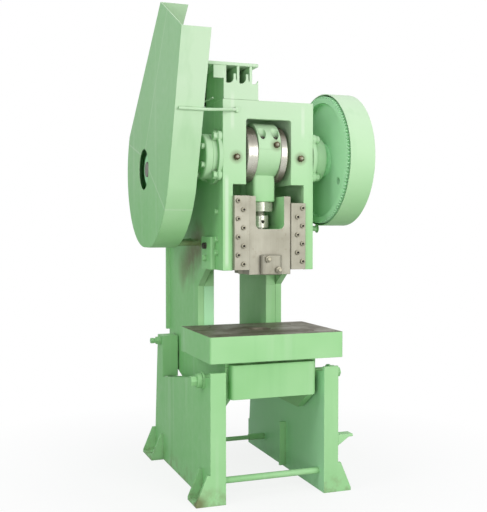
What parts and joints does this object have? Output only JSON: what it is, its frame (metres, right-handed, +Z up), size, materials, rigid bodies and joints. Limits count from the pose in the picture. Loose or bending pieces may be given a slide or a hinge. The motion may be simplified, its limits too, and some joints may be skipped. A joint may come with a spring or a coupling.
{
  "type": "mechanical stamping press",
  "caption": "Free-standing inclinable geared C-frame stamping press with a crank-driven slide, bolster table, gear and belt guards, and two box legs.",
  "frame": {"origin": "middle of the footprint box on the floor", "axes": "+Z up, +Y from the operator to the back of the press, +X to the operator's right, where the gear guard is"},
  "size_m": [0.868, 1.077, 2.138],
  "materials": {
    "mint_paint": "semi-gloss machine paint, worn at edges",
    "machined_iron": "machined and stained",
    "worn_steel": "machined, lightly streaked",
    "polished_steel": "ground and polished",
    "bolt_steel": "oil blackened",
    "gear_steel": "oily machined steel",
    "cast_gear_iron": "painted casting with bare teeth",
    "bronze": "bearing bronze",
    "brass": "dull brass"
  },
  "bodies": {
    "stand": {"left_leg": "mint_paint", "right_leg": "mint_paint", "leg_lug": "mint_paint", "pivot_bolts": "mint_paint", "clamp_bolts": "mint_paint", "front_tie_rod": "mint_paint", "rear_tie_rod": "mint_paint"},
    "frame": {"apron": "mint_paint", "back_shaft_housings": "mint_paint", "bearing_webs": "mint_paint", "bed_plate": "mint_paint", "belt_guard": "mint_paint", "belt_guard_studs": "mint_paint", "bracket_bolts": "bolt_steel", "cover_bolts": "mint_paint", "crank_bushes": "bronze", "crank_end_cover": "mint_paint", "frame_left_side": "mint_paint", "frame_right_side": "mint_paint", "gear_guard": "mint_paint", "gear_guard_studs": "mint_paint", "gib_screws": "bolt_steel", "guard_stay": "mint_paint", "head_front_plate": "mint_paint", "head_roof": "mint_paint", "housing_bolts": "mint_paint", "left_bearing_housing": "mint_paint", "left_bracket": "mint_paint", "left_gib": "worn_steel", "motor_plate": "mint_paint", "motor_stand": "mint_paint", "oil_nipples": "brass", "rear_lower_web": "mint_paint", "rear_upper_web": "mint_paint", "right_bearing_housing": "mint_paint", "right_gib": "worn_steel", "side_screws": "mint_paint", "slide_back_plate": "mint_paint", "table": "machined_iron", "table_bolts": "mint_paint", "throat_flanges": "mint_paint"},
    "drive": {"back_shaft": "gear_steel", "flywheel": "cast_gear_iron", "pinion": "gear_steel"},
    "crank": {"crankshaft": "polished_steel", "bull_gear": "cast_gear_iron", "gear_collar": "gear_steel"},
    "bush": {"stroke_bush": "bronze"},
    "rod": {"connecting_rod": "mint_paint", "rod_cap": "mint_paint", "rod_cap_bolts": "bolt_steel", "lock_nut": "polished_steel", "rod_nipple": "brass"},
    "ram": {"slide": "worn_steel", "adjusting_screw": "polished_steel", "tool_clamp": "worn_steel", "clamp_studs": "polished_steel"}
  },
  "joints": [
    {"name": "frame_incline", "type": "hinge", "parent": "stand", "child": "frame", "pos_m": [0.016, -0.3185, 0.515], "axis": [-1, 0, 0], "range_deg": [0, 20]},
    {"name": "flywheel_spin", "type": "hinge", "parent": "frame", "child": "drive", "pos_m": [0.016, 0.11151, 1.443], "axis": [1, 0, 0], "continuous": true},
    {"name": "crank_spin", "type": "hinge", "parent": "frame", "child": "crank", "pos_m": [0.016, -0.2315, 1.48], "axis": [1, 0, 0], "continuous": true},
    {"name": "bush_turn", "type": "hinge", "parent": "crank", "child": "bush", "pos_m": [0.016, -0.2315, 1.495], "axis": [1, 0, 0], "continuous": true},
    {"name": "rod_swing", "type": "hinge", "parent": "bush", "child": "rod", "pos_m": [0.016, -0.2315, 1.51], "axis": [1, 0, 0], "continuous": true},
    {"name": "slide_adjust", "type": "slide", "parent": "rod", "child": "ram", "axis": [0, 0, 1], "range_m": [-0.02, 0.008]}
  ],
  "couplings": [
    {"joint": "crank_spin", "follows": "flywheel_spin", "ratio": -0.21053},
    {"joint": "bush_turn", "follows": "flywheel_spin", "ratio": 0.42105},
    {"joint": "rod_swing", "follows": "flywheel_spin", "ratio": -0.21053}
  ]
}
